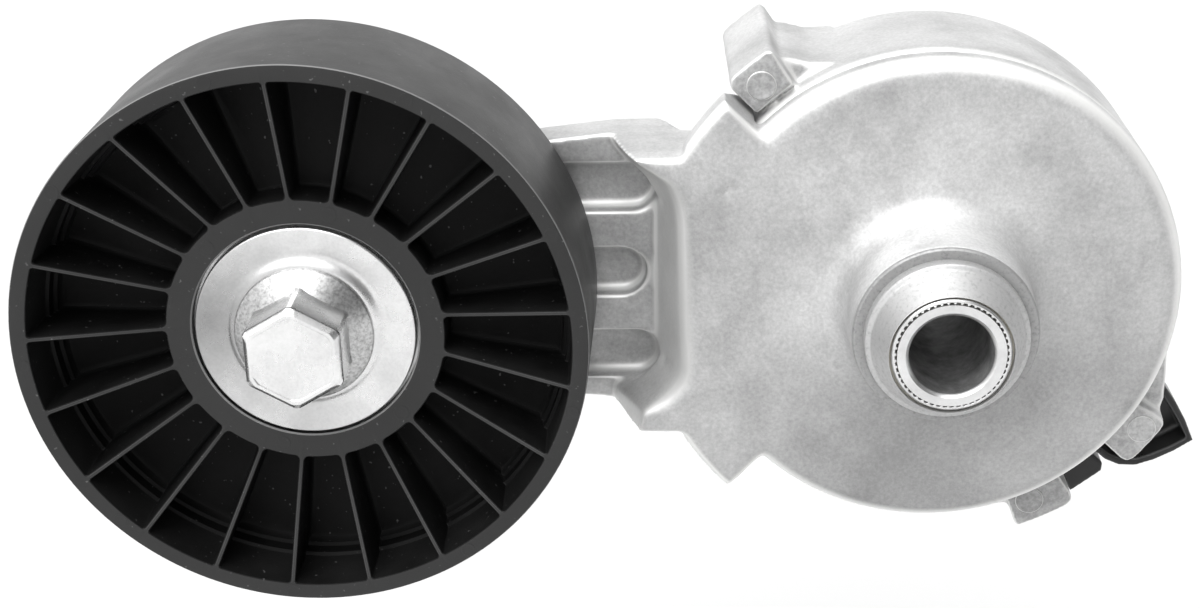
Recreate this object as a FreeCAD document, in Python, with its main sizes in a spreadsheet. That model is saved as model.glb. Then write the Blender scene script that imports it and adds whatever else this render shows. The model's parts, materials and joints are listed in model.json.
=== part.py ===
"""Automatic belt tensioner with a smooth idler pulley.

Frame: the pivot axis is the Y axis and the mounting face is the plane Y = 0.
The front of the tensioner, with the pulley, faces -Y.  +Z is up and the pulley
hangs off to -X.  A depth is a distance forward of the mounting face, so that a
point at depth d has Y = -d.  Lengths are in millimetres, angles in degrees and
angles about an axis are counted from +X towards +Z, seen from the front.
"""
import FreeCAD, Part
import math
import os
import Sketcher

DRIVING = {
    # Arm layout.
    "arm_length": 100.0,
    "housing_radius": 40.0,
    "running_gap": 0.3,
    # Pulley: a smooth flat-faced rim, a web, a hub ring and two sets of ribs.
    "pulley_radius": 45.0,
    "pulley_front": 52.0,
    "pulley_back": 25.0,
    "rim_wall": 2.75,
    "rim_chamfer": 0.5,
    "web_front": 39.8,
    "web_back": 37.2,
    "hub_ring_radius": 22.0,
    "hub_ring_front": 46.5,
    "hub_ring_back": 30.5,
    "hub_lip_radius": 17.9,
    "rib_count": 21.0,
    "rib_thickness": 1.2,
    "rib_phase": 6.7,
    # Ball bearing, 17 x 40 x 12.
    "bearing_bore": 8.5,
    "bearing_outer": 20.0,
    "bearing_front": 44.5,
    "bearing_back": 32.5,
    "inner_shoulder": 12.3,
    "outer_shoulder": 16.3,
    "ball_radius": 3.4,
    "ball_track": 3.45,
    "ball_circle": 14.3,
    "ball_count": 8.0,
    "cage_wall": 2.4,
    "seal_thickness": 0.9,
    # Pulley bolt, M10 with a flange, and the pieces that it clamps.
    "bolt_radius": 5.0,
    "bolt_clearance": 5.15,
    "bolt_length": 34.0,
    "hex_width": 15.0,
    "hex_front": 57.7,
    "flange_radius": 11.0,
    "flange_back": 47.0,
    "shield_radius": 17.5,
    "shield_thickness": 1.0,
    "sleeve_flange": 11.5,
    # Arm casting.
    "cover_back": 31.3,
    "cover_front": 36.8,
    "cover_wall": 3.5,
    "cover_dome": 1.2,
    "cover_round": 4.0,
    "hub_radius": 14.5,
    "hub_shoulder": 51.4,
    "hub_blend": 5.0,
    "nose_radius": 12.8,
    "nose_back": 52.5,
    "nose_front": 58.7,
    "hub_bore": 9.5,
    "hub_back": 21.0,
    "sector_radius": 47.7,
    "sector_back": 21.0,
    "sector_heel": 42.6,
    "sector_tip_back": 31.0,
    "sector_front": 36.8,
    "sector_chamfer": 1.3,
    "wing_round": 1.2,
    "neck_back": 14.0,
    "neck_front": 22.5,
    "neck_half_root": 24.4,
    "relief_offset": 20.0,
    "relief_length": 8.0,
    "neck_half_tip": 19.0,
    "boss_radius": 11.5,
    "boss_front": 31.0,
    "pocket_width": 8.6,
    "pocket_pitch": 15.0,
    "pocket_start": 78.0,
    "pocket_depth": 3.5,
    "pocket_round": 1.8,
    # Fixed housing.
    "housing_back": 2.5,
    "housing_front": 31.0,
    "housing_wall": 3.5,
    "housing_floor": 4.0,
    "housing_round": 2.6,
    "lip_radius": 39.4,
    "lip_front": 7.5,
    "seat_boss_radius": 14.0,
    "seat_boss_front": 20.0,
    "lug_radius": 48.0,
    "lug_flare": 1.2,
    "lug_front": 29.5,
    "lug_face_inner": 41.0,
    "lug_slot_floor": 24.6,
    "lug_draft": 0.6,
    "ramp_front": 25.8,
    "lug_round": 1.6,
    "lug_ramp_round": 0.8,
    # Pivot.
    "tube_bore": 6.5,
    "tube_radius": 8.3,
    "bushing_clearance": 0.05,
    "bushing_front": 57.3,
    "bushing_length": 14.0,
    "ring_radius": 9.15,
    "ring_thickness": 1.0,
    "washer_thickness": 0.7,
    # Back plate, its rivets and the locating pin.
    "plate_thickness": 2.5,
    "plate_radius": 38.0,
    "ear_height": 8.0,
    "ear_lip": 1.4,
    "rivet_radius": 2.4,
    "rivet_circle": 43.6,
    "rivet_depth": 14.0,
    "rivet_head": 3.3,
    "pin_radius": 4.0,
    "pin_offset": 28.0,
    "pin_reach": 7.0,
    "pin_lead": 0.8,
    "pin_shank": 3.4,
    # Torsion spring, its seats and the damper.
    "spring_mean": 26.0,
    "wire_radius": 2.5,
    "spring_turns": 3.25,
    "seat_inner": 22.0,
    "seat_outer": 31.0,
    "seat_thickness": 2.0,
    "damper_outer": 36.2,
    "damper_wall": 3.4,
    "damper_back": 20.0,
    "damper_front": 31.0,
    "damper_sweep": 300.0,
    "band_thickness": 0.8,
}
# Where each row of pockets in the neck ends, from the pivot axis; row 0 is the middle one.
POCKET_ENDS = {-1: -49.0, 0: -51.0, 1: -49.0}
# Lugs: the two angles between which each stands, and its blend side.
LUGS = {
    "stop_lug": (123.3, 134.1, -1),
    "right_lug": (-44.3, -32.3, 1),
    "lower_lug": (-70.5, -57.3, -1),
}

# Ramp beside each lug: how far out it is, in mm, at some degrees past the lug's side;
# a negative angle lies inside the lug.
LUG_RAMPS = {
    "stop_lug": [(45.5, -1.0), (44.4, 1.3), (41.6, 5.0), (39.95, 11.0)],
    "right_lug": [(47.4, -1.0), (47.0, 2.4), (44.6, 8.2), (42.6, 14.5), (41.0, 21.5), (39.95, 29.0)],
    "lower_lug": [(45.5, -1.0), (44.9, 2.1), (43.4, 5.6), (41.7, 10.6), (39.95, 17.0)],
}
# The ear of the back plate: its lipped edge from the tab round to the right lug, the
# corner that closes its floor, and its middle.
EAR_EDGE = [
    (32.9, -41.4), (35.3, -43.6), (37.8, -44.7), (40.8, -44.9), (44.2, -43.8), (47.8, -42.0),
    (51.0, -39.9), (49.4, -36.0), (47.4, -32.3), (45.2, -29.0),
]
EAR_ROOT = (34.0, -26.0)
EAR_MIDDLE = (41.0, -36.0)
# Wings of the arm that strike the stop lug: the two angles that each spans.
STOP_WINGS = {"upper_wing": (135.0, 148.0), "lower_wing": (210.5, 225.0)}


class Size:
    """A number together with the sheet expression that gives it."""

    def __init__(self, number, text):
        self.number = number
        self.text = text

    def joined(self, sign, other, number):
        return Size(number, "(%s %s %s)" % (self.text, sign, other.text))

    def __add__(self, other):
        other = as_size(other)
        return self.joined("+", other, self.number + other.number)

    def __sub__(self, other):
        other = as_size(other)
        return self.joined("-", other, self.number - other.number)

    def __mul__(self, other):
        other = as_size(other)
        return self.joined("*", other, self.number * other.number)

    def __truediv__(self, other):
        other = as_size(other)
        return self.joined("/", other, self.number / other.number)

    def __rsub__(self, other):
        return as_size(other) - self

    def __neg__(self):
        return Size(-self.number, "(0 - %s)" % self.text)


def as_size(value):
    """Turn a plain number into a Size, and leave a Size as it is."""
    if isinstance(value, Size):
        return value
    return Size(float(value), "(%.6f)" % value)


class Sheet:
    """Attribute access to the driving dimensions: size.arm_length is a Size."""

    def __getattr__(self, alias):
        return Size(DRIVING[alias], "Sizes." + alias)


size = Sheet()
doc = FreeCAD.newDocument("belt_tensioner")
sheet = doc.addObject("Spreadsheet::Sheet", "Sizes")
for row, (alias, number) in enumerate(DRIVING.items(), start=1):
    sheet.set("A%d" % row, alias)
    sheet.set("B%d" % row, str(number))
    sheet.setAlias("B%d" % row, alias)
doc.recompute()

parts = []


# ---------------------------------------------------------------- helpers

def bind(target, name, value):
    """Tie one property of an object to the sheet."""
    target.setExpression(name, as_size(value).text)


def keep(item, label):
    """Name a finished sub-part and list it for writing."""
    item.Label = label
    parts.append(item)
    return item


def new_body(label, on_pulley_axis=False):
    """Start a sub-part whose own Y axis is the pivot axis or the pulley axis."""
    body = doc.addObject("PartDesign::Body", "Body_" + label)
    if on_pulley_axis:
        bind(body, "Placement.Base.x", -size.arm_length)
    return keep(body, label)


def origin_feature(body, role):
    """Find one of the body's own origin planes or axes."""
    for feature in body.Origin.OriginFeatures:
        if feature.Role == role:
            return feature
    raise ValueError(role)


def new_sketch(body, name, plane, offset=0.0, turn=0.0):
    """Place an empty sketch on an origin plane, moved off it and turned about Y."""
    sketch = body.newObject("Sketcher::SketchObject", name)
    sketch.AttachmentSupport = [(origin_feature(body, plane), "")]
    sketch.MapMode = "FlatFace"
    spin = FreeCAD.Rotation(FreeCAD.Vector(0, 1, 0), -as_size(turn).number)
    lift = FreeCAD.Vector(0, 0, as_size(offset).number)
    sketch.AttachmentOffset = FreeCAD.Placement(lift, spin)
    bind(sketch, "AttachmentOffset.Base.z", offset)
    return sketch


def fix_point(sketch, edge, end, place):
    """Dimension one point of a sketch from the origin, both ways."""
    for kind, value in zip(("DistanceX", "DistanceY"), place):
        value = as_size(value)
        index = sketch.addConstraint(Sketcher.Constraint(kind, edge, end, value.number))
        bind(sketch, "Constraints[%d]" % index, value)


def draw_outline(sketch, points):
    """Draw a closed outline of straight edges through dimensioned corners."""
    corners = [FreeCAD.Vector(as_size(u).number, as_size(v).number, 0) for u, v in points]
    count = len(corners)
    for index in range(count):
        following = corners[(index + 1) % count]
        sketch.addGeometry(Part.LineSegment(corners[index], following), False)
    for index in range(count):
        sketch.addConstraint(Sketcher.Constraint("Coincident", index, 2, (index + 1) % count, 1))
    for index, place in enumerate(points):
        fix_point(sketch, index, 1, place)


def draw_circle(sketch, centre, radius):
    """Draw one dimensioned circle."""
    radius = as_size(radius)
    middle = FreeCAD.Vector(as_size(centre[0]).number, as_size(centre[1]).number, 0)
    edge = sketch.addGeometry(Part.Circle(middle, FreeCAD.Vector(0, 0, 1), radius.number), False)
    fix_point(sketch, edge, 3, centre)
    index = sketch.addConstraint(Sketcher.Constraint("Radius", edge, radius.number))
    bind(sketch, "Constraints[%d]" % index, radius)


def volume_of(body):
    """Volume of a body so far, zero while it is empty."""
    doc.recompute()
    if body.Tip is None or body.Shape.isNull():
        return 0.0
    return body.Shape.Volume


def finish_feature(body, before, cut, name):
    """Make sure that a feature added or removed material as it should."""
    doc.recompute()
    change = body.Shape.Volume - before
    if (cut and change > -1e-6) or (not cut and change < 1e-6):
        raise RuntimeError("%s in %s changed nothing" % (name, body.Label))


def turned(body, name, profile, angle=0.0, sweep=360.0, cut=False):
    """Revolve an outline of (radius, depth) corners about the body's Y axis.

    A partial sweep is centred on the given angle.
    """
    before = volume_of(body)
    sketch = new_sketch(body, name + "_profile", "XY_Plane", turn=angle)
    draw_outline(sketch, [(radius, -as_size(depth)) for radius, depth in profile])
    revolve_sketch(body, name, sketch, sweep, cut)
    finish_feature(body, before, cut, name)


def turned_circle(body, name, radius, depth, section, cut=False):
    """Revolve a round section: a ball track."""
    before = volume_of(body)
    sketch = new_sketch(body, name + "_profile", "XY_Plane")
    draw_circle(sketch, (radius, -as_size(depth)), section)
    revolve_sketch(body, name, sketch, 360.0, cut)
    finish_feature(body, before, cut, name)


def revolve_sketch(body, name, sketch, sweep, cut):
    """Turn a sketch about its own vertical axis."""
    kind = "PartDesign::Groove" if cut else "PartDesign::Revolution"
    feature = body.newObject(kind, name)
    feature.Profile = sketch
    feature.ReferenceAxis = (sketch, ["V_Axis"])
    feature.Midplane = as_size(sweep).number < 360.0
    feature.Angle = as_size(sweep).number
    bind(feature, "Angle", sweep)


def extruded(body, name, points, start, end, cut=False):
    """Extrude an outline of (x, z) corners from one depth forward to another."""
    before = volume_of(body)
    sketch = new_sketch(body, name + "_outline", "XZ_Plane", offset=start)
    draw_outline(sketch, points)
    extrude_sketch(body, name, sketch, as_size(end) - start, cut)
    finish_feature(body, before, cut, name)


def extruded_circle(body, name, centre, radius, start, end, cut=False):
    """Extrude a circle from one depth forward to another."""
    before = volume_of(body)
    sketch = new_sketch(body, name + "_outline", "XZ_Plane", offset=start)
    draw_circle(sketch, centre, radius)
    extrude_sketch(body, name, sketch, as_size(end) - start, cut)
    finish_feature(body, before, cut, name)


def extrude_sketch(body, name, sketch, length, cut):
    """Pad or pocket a sketch towards the front."""
    feature = body.newObject("PartDesign::Pocket" if cut else "PartDesign::Pad", name)
    feature.Profile = sketch
    feature.Length = length.number
    bind(feature, "Length", length)
    if cut:
        feature.Reversed = True


def rounded(body, name, radius, places):
    """Fillet the edges that pass closest to the given (x, y, z) places."""
    doc.recompute()
    sharp = body.Tip
    names = []
    for place in places:
        vertex = Part.Vertex(FreeCAD.Vector(*place))
        gaps = [edge.distToShape(vertex)[0] for edge in sharp.Shape.Edges]
        names.append("Edge%d" % (gaps.index(min(gaps)) + 1))
    fillet = body.newObject("PartDesign::Fillet", name)
    fillet.Base = (sharp, names)
    fillet.Radius = as_size(radius).number
    bind(fillet, "Radius", radius)
    body.Tip = fillet
    doc.recompute()


def around(radius, depth, angle):
    """Place of a point at a radius and angle about the Y axis, in numbers."""
    turn = math.radians(as_size(angle).number)
    reach = as_size(radius).number
    return (reach * math.cos(turn), -as_size(depth).number, reach * math.sin(turn))


def polar(radius, angle):
    """Sketch corner at a radius and angle about the Y axis."""
    radius = as_size(radius)
    angle = as_size(angle)
    turn = math.radians(angle.number)
    return (
        Size(radius.number * math.cos(turn), "(%s * cos(%s * 1 deg))" % (radius.text, angle.text)),
        Size(radius.number * math.sin(turn), "(%s * sin(%s * 1 deg))" % (radius.text, angle.text)),
    )


def ring(body, name, inner, outer, back, front, **options):
    """Plain ring between two radii and two depths."""
    turned(body, name, [(inner, back), (outer, back), (outer, front), (inner, front)], **options)


def spin_copies(body, name, feature, count):
    """Repeat a feature all the way round the body's Y axis."""
    pattern = body.newObject("PartDesign::PolarPattern", name)
    pattern.Originals = [feature]
    pattern.Axis = (origin_feature(body, "Y_Axis"), [""])
    pattern.Angle = 360.0
    pattern.Occurrences = int(count.number)
    bind(pattern, "Occurrences", count)
    body.Tip = pattern
    doc.recompute()


# ---------------------------------------------------------------- fixed side

def lug_sector(body, name, first, last, profile):
    """Sector of a ring between two angles, from a (radius, depth) outline."""
    turned(body, name, profile, angle=(first + last) / 2.0, sweep=last - first)


def make_base_housing():
    """Die-cast cup with a rear lip, a tube seat and three lugs."""
    body = new_body("base_housing")
    inside = size.housing_radius - size.housing_wall
    floor = size.housing_back + size.housing_floor
    turned(body, "cup", [
        (size.tube_radius, size.housing_back),
        (size.lip_radius - 0.6, size.housing_back),
        (size.lip_radius, size.housing_back + 0.6),
        (size.lip_radius, size.lip_front),
        (size.housing_radius, size.lip_front + 0.5),
        (size.housing_radius, size.housing_front),
        (inside, size.housing_front),
        (inside, floor),
        (size.seat_boss_radius, floor),
        (size.seat_boss_radius, size.seat_boss_front),
        (size.tube_radius, size.seat_boss_front),
    ])
    rounded(body, "front_edge", size.housing_round, [around(size.housing_radius, size.housing_front, 60)])
    lug_foot = size.housing_radius - 1.5
    for name, (first, last, side) in LUGS.items():
        lug_sector(body, name, first, last, [
            (lug_foot, size.housing_back),
            (size.lug_radius + size.lug_flare, size.housing_back),
            (size.lug_radius, size.lug_front),
            (size.lug_face_inner, size.lug_front),
            (size.lug_face_inner - size.lug_draft, size.lug_slot_floor),
            (lug_foot, size.lug_slot_floor),
        ])
        blend_edge = last if side > 0 else first
        ramp = [polar(radius, blend_edge + side * away) for radius, away in LUG_RAMPS[name]]
        extruded(body, name + "_blend", [
            polar(lug_foot, blend_edge - side * 2.0),
        ] + ramp + [
            polar(lug_foot, blend_edge + side * LUG_RAMPS[name][-1][1]),
        ], size.housing_back, size.ramp_front)
        middle_depth = (size.housing_back + size.lug_front) / 2.0
        for angle in (first, last):
            corner = around(size.lug_radius + size.lug_flare * 0.5, middle_depth, angle)
            radius = size.lug_ramp_round if angle == blend_edge else size.lug_round
            rounded(body, "%s_corner_%d" % (name, angle), radius, [corner])
    for name, (first, last, _) in LUGS.items():
        extruded_circle(
            body, name + "_rivet_hole", polar(size.rivet_circle, (first + last) / 2.0),
            size.rivet_radius, size.housing_back, size.rivet_depth, cut=True)
    extruded_circle(
        body, "pin_hole", (0.0, -size.pin_offset), size.pin_shank,
        size.housing_back, floor, cut=True)


def ear_outline(lip):
    """Corners of the ear's edge, each drawn in towards the ear's middle by the lip thickness."""
    outline = []
    for across, up in EAR_EDGE:
        inward = (EAR_MIDDLE[0] - across, EAR_MIDDLE[1] - up)
        reach = math.hypot(*inward)
        outline.append((lip * (inward[0] / reach) + across, lip * (inward[1] / reach) + up))
    return outline


def make_back_plate():
    """Black stamped steel plate behind the housing, with a tab and a lipped ear."""
    body = new_body("back_plate")
    clear_tube = size.tube_radius + 0.05
    ring(body, "disc", clear_tube, size.plate_radius, 0.0, size.plate_thickness)
    for name, (first, last, _) in LUGS.items():
        ring(body, name + "_pad", size.plate_radius - 2.0, size.lug_radius, 0.0,
             size.plate_thickness, angle=(first + last) / 2.0, sweep=last - first - 0.6)
    extruded(body, "ear_floor", EAR_EDGE + [EAR_ROOT], 0.0, size.plate_thickness)
    extruded(body, "ear_lip", EAR_EDGE + ear_outline(size.ear_lip)[::-1],
             size.plate_thickness, size.ear_height)
    tab_foot = [polar(36.0, -56.0), polar(36.0, -46.0), (32.6, -42.2)]
    tab_end = [(35.0, -44.4), (34.8, -45.9), (29.4, -50.0), (27.2, -45.8), polar(44.0, -56.4)]
    extruded(body, "tab_floor", tab_foot + tab_end, 0.0, size.plate_thickness)
    extruded(body, "tab_block", [(32.4, -41.9)] + tab_end[:4] + [(27.4, -45.0)],
             size.plate_thickness, size.ear_height)
    for name, (first, last, _) in LUGS.items():
        extruded_circle(
            body, name + "_rivet_hole", polar(size.rivet_circle, (first + last) / 2.0),
            size.rivet_head, 0.0, size.plate_thickness, cut=True)
    extruded_circle(
        body, "pin_hole", (0.0, -size.pin_offset), size.pin_radius + 0.05, 0.0,
        size.plate_thickness, cut=True)


def make_plate_rivets():
    """Three flush rivets that hold the back plate to the lugs."""
    rivets = []
    for name, (first, last, _) in LUGS.items():
        centre_x, centre_z = polar(size.rivet_circle, (first + last) / 2.0)
        shank = doc.addObject("Part::Cylinder", name + "_shank")
        bind(shank, "Radius", size.rivet_radius)
        bind(shank, "Height", size.rivet_depth)
        head = doc.addObject("Part::Cylinder", name + "_head")
        bind(head, "Radius", size.rivet_head)
        bind(head, "Height", size.plate_thickness)
        for piece in (shank, head):
            piece.Placement = FreeCAD.Placement(
                FreeCAD.Vector(0, 0, 0), FreeCAD.Rotation(FreeCAD.Vector(1, 0, 0), 90))
            bind(piece, "Placement.Base.x", centre_x)
            bind(piece, "Placement.Base.z", centre_z)
        rivet = doc.addObject("Part::Fuse", name + "_rivet")
        rivet.Base = shank
        rivet.Tool = head
        rivets.append(rivet)
    group = doc.addObject("Part::Compound", "Rivets")
    group.Links = rivets
    keep(group, "plate_rivets")


def make_locating_pin():
    """Shoulder dowel that stands out behind the mounting face and stops the base turning."""
    body = new_body("locating_pin")
    bind(body, "Placement.Base.z", -size.pin_offset)
    root = size.housing_back + size.housing_floor
    lead = size.pin_lead
    turned(body, "pin", [
        (0.0, -size.pin_reach),
        (size.pin_radius - lead, -size.pin_reach),
        (size.pin_radius, lead - size.pin_reach),
        (size.pin_radius, 0.0),
        (size.pin_radius - 0.2, 0.0),
        (size.pin_radius - 0.2, size.housing_back),
        (size.pin_shank, size.housing_back),
        (size.pin_shank, root),
        (0.0, root),
    ])


def make_pivot_tube():
    """Steel tube that the mounting bolt passes through, chamfered where it goes in."""
    body = new_body("pivot_tube")
    turned(body, "tube", [
        (size.tube_bore, 0.0),
        (size.tube_radius, 0.0),
        (size.tube_radius, size.nose_front),
        (size.tube_bore + 0.5, size.nose_front),
        (size.tube_bore, size.nose_front - 0.5),
    ])


def make_small_rings():
    """Rings about the pivot axis that need no more than a rectangle."""
    ring(new_body("tube_retaining_ring"), "staked_ring", size.tube_radius, size.ring_radius,
         size.nose_front - 0.2 - size.ring_thickness, size.nose_front - 0.2)
    ring(new_body("rear_thrust_washer"), "washer", size.tube_radius + 0.1, size.seat_boss_radius,
         size.seat_boss_front, size.seat_boss_front + size.washer_thickness)
    journal = size.tube_radius + size.bushing_clearance
    ring(new_body("front_pivot_bushing"), "bushing", journal, size.hub_bore,
         size.bushing_front - size.bushing_length, size.bushing_front)
    ring(new_body("rear_pivot_bushing"), "bushing", journal, size.hub_bore,
         size.hub_back, size.hub_back + size.bushing_length)
    floor = size.housing_back + size.housing_floor
    ring(new_body("rear_spring_seat"), "seat", size.seat_inner, size.seat_outer,
         floor, floor + size.seat_thickness)
    roof = size.cover_front - size.cover_wall
    ring(new_body("front_spring_seat"), "seat", size.seat_inner, size.seat_outer,
         roof - size.seat_thickness, roof)
    inside = size.damper_outer - size.damper_wall
    ring(new_body("damper_shoe"), "shoe", inside, size.damper_outer, size.damper_back,
         size.damper_front, angle=270.0, sweep=size.damper_sweep)
    ring(new_body("damper_band"), "band", inside - size.band_thickness, inside,
         size.damper_back + 1.0, size.damper_front - 1.0, angle=270.0,
         sweep=size.damper_sweep - 6.0)


def make_torsion_spring():
    """Round-wire coil between the two seats."""
    body = new_body("torsion_spring")
    bottom = size.housing_back + size.housing_floor + size.seat_thickness
    top = size.cover_front - size.cover_wall - size.seat_thickness - size.running_gap
    sketch = new_sketch(body, "wire_section", "XY_Plane")
    draw_circle(sketch, (size.spring_mean, -(top - size.wire_radius)), size.wire_radius)
    coil = body.newObject("PartDesign::AdditiveHelix", "coil")
    coil.Profile = sketch
    coil.ReferenceAxis = (sketch, ["V_Axis"])
    coil.Mode = 2
    height = top - bottom - size.wire_radius * 2.0
    coil.Height = height.number
    coil.Turns = size.spring_turns.number
    bind(coil, "Height", height)
    bind(coil, "Turns", size.spring_turns)
    doc.recompute()


# ---------------------------------------------------------------- arm

def make_tensioner_arm():
    """One casting: cover, hub, stop sector, neck and pulley boss."""
    body = new_body("tensioner_arm")
    roof = size.cover_front - size.cover_wall
    inside = size.housing_radius - size.cover_wall
    turned(body, "cover", [
        (size.hub_bore, size.nose_front),
        (size.nose_radius, size.nose_back),
        (size.nose_radius, size.hub_shoulder + 0.4),
        (size.hub_radius, size.hub_shoulder),
        (size.hub_radius + 0.6, size.cover_front + size.cover_dome),
        (size.housing_radius, size.cover_front),
        (size.housing_radius, size.cover_back),
        (inside, size.cover_back),
        (inside, roof),
        (size.hub_radius - 0.5, roof),
        (size.hub_radius - 0.5, size.hub_back),
        (size.hub_bore, size.hub_back),
    ])
    rounded(body, "cover_edge", size.cover_round,
            [around(size.housing_radius, size.cover_front, 60)])
    rounded(body, "hub_foot", size.hub_blend,
            [around(size.hub_radius + 0.6, size.cover_front + size.cover_dome, 60)])
    for name, (first, last) in STOP_WINGS.items():
        turned(body, name, [
            (size.housing_radius + 0.5, size.sector_back),
            (size.sector_heel, size.sector_back),
            (size.sector_radius, size.sector_tip_back),
            (size.sector_radius, size.sector_front - size.sector_chamfer),
            (size.sector_radius - size.sector_chamfer, size.sector_front),
            (inside + 0.1, size.sector_front),
            (inside + 0.1, size.cover_back + 0.2),
            (size.housing_radius + 0.5, size.cover_back + 0.2),
        ], angle=(first + last) / 2.0, sweep=last - first)
    tip_x = -size.arm_length
    root = neck_root(-(inside + 0.3))
    extruded(body, "neck", [
        (tip_x, size.neck_half_tip),
        (tip_x, -size.neck_half_tip),
        (-53.3, -(size.neck_half_root - 1.2)),
    ] + root + [
        (-52.0, size.neck_half_root),
    ], size.neck_back, size.neck_front)
    extruded_circle(body, "neck_end", (tip_x, 0.0), size.neck_half_tip,
                    size.neck_back, size.neck_front)
    make_neck_step(body, root)
    ring(body, "housing_room", inside, size.housing_radius + 0.5,
         size.neck_back - 1.0, size.cover_back, cut=True)
    for side, name in ((1, "upper_relief"), (-1, "lower_relief")):
        relieve_neck_root(body, name, side)
    for name, angle in (("upper_wing", 135.0), ("lower_wing", 225.0)):
        rounded(body, name + "_edge", size.wing_round,
                [around(size.sector_heel, size.sector_front, angle)])
    extruded_circle(body, "pulley_boss", (tip_x, 0.0), size.boss_radius,
                    size.neck_front - 0.5, size.boss_front)
    extruded_circle(body, "bolt_hole", (tip_x, 0.0), size.bolt_radius,
                    size.neck_back, size.boss_front, cut=True)
    for row, reach in POCKET_ENDS.items():
        cut_neck_pocket(body, row, reach)
    ring(body, "damper_drive", size.damper_outer - size.damper_wall, size.damper_outer,
         size.damper_back + 4.0, roof + 0.5, angle=90.0, sweep=48.0)


def relieve_neck_root(body, name, side):
    """Round off the back of the neck's flank where it meets the stop wing."""
    before = volume_of(body)
    sketch = new_sketch(body, name + "_outline", "XY_Plane", offset=size.relief_offset * side)
    draw_outline(sketch, [(across, -depth) for across, depth in [
        (-46.0, size.neck_back - 1.0),
        (-44.5, size.neck_back),
        (-42.9, 16.2),
        (-41.6, 19.0),
        (-40.6, size.sector_back),
        (-34.0, size.sector_back),
        (-34.0, size.neck_back - 1.0),
    ]])
    relief = body.newObject("PartDesign::Pocket", name)
    relief.Profile = sketch
    relief.Length = size.relief_length.number
    bind(relief, "Length", size.relief_length)
    relief.Reversed = side > 0
    finish_feature(body, before, True, name)


def neck_root(reach):
    """Inner end of the neck's outline, which follows the rim of the cover."""
    return [
        (-31.5, -(size.neck_half_root - 0.8)),
        (reach, -14.0),
        (reach, 14.0),
        (-31.0, size.neck_half_root),
    ]


def make_neck_step(body, root):
    """Ramp from the low neck up to the cover, narrower at its front."""
    before = volume_of(body)
    low = new_sketch(body, "step_foot", "XZ_Plane", offset=size.neck_front - 0.5)
    draw_outline(low, root + [
        (-52.4, size.neck_half_root - 0.1),
        (-51.6, 22.4),
        (-47.5, 16.9),
        (-45.2, 13.0),
        (-45.5, -6.0),
        (-45.8, -14.0),
        (-49.0, -18.2),
        (-53.0, -20.6),
        (-53.2, -(size.neck_half_root - 1.3)),
    ])
    high = new_sketch(body, "step_head", "XZ_Plane", offset=size.sector_front - 0.3)
    draw_outline(high, root + [
        (-48.6, size.neck_half_root - 0.1),
        (-47.8, 23.9),
        (-42.1, 20.0),
        (-40.7, 15.8),
        (-40.6, -6.0),
        (-39.8, -13.8),
        (-43.2, -17.0),
        (-47.2, -19.4),
        (-48.1, -(size.neck_half_root - 1.3)),
    ])
    loft = body.newObject("PartDesign::AdditiveLoft", "step")
    loft.Profile = low
    loft.Sections = [(high, [""])]
    loft.Ruled = True
    finish_feature(body, before, False, "step")


def cut_neck_pocket(body, row, reach):
    """Long round-ended pocket in the front of the neck."""
    half = size.pocket_width / 2.0
    middle = size.pocket_pitch * row
    low = middle - half
    high = middle + half
    floor = size.neck_front - size.pocket_depth
    name = "pocket_%d" % (row + 2)
    start = -size.pocket_start
    extruded(body, name, [(start, low), (reach, low), (reach, high), (start, high)],
             floor, size.neck_front, cut=True)
    extruded_circle(body, name + "_end", (reach, middle), half, floor, size.neck_front + 2.0,
                    cut=True)
    rounded(body, name + "_floor", size.pocket_round, [(reach - 6.0, -floor.number, low.number)])


def make_pulley_bolt():
    """Hexagon bolt with a flange, in one piece with its shank."""
    body = new_body("pulley_bolt", on_pulley_axis=True)
    turned(body, "shank_and_flange", [
        (0.0, size.flange_back - size.bolt_length),
        (size.bolt_radius - 0.8, size.flange_back - size.bolt_length),
        (size.bolt_radius - 0.02, size.flange_back - size.bolt_length + 0.8),
        (size.bolt_radius - 0.02, size.flange_back),
        (size.flange_radius, size.flange_back),
        (size.flange_radius, size.flange_back + 0.9),
        (size.hex_width / 2.0 + 0.9, size.flange_back + 2.6),
        (0.0, size.flange_back + 2.6),
    ])
    corner = size.hex_width / (2.0 * math.cos(math.radians(30)))
    extruded(body, "hexagon", [polar(corner, 30.0 + 60.0 * k) for k in range(6)],
             size.flange_back + 1.0, size.hex_front)
    turned(body, "head_chamfer", [
        (size.hex_width / 2.0 - 0.2, size.hex_front + 0.1),
        (size.hex_width / 2.0 + 1.9, size.hex_front - 1.1),
        (size.hex_width / 2.0 + 1.9, size.hex_front + 0.1),
    ], cut=True)


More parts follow.
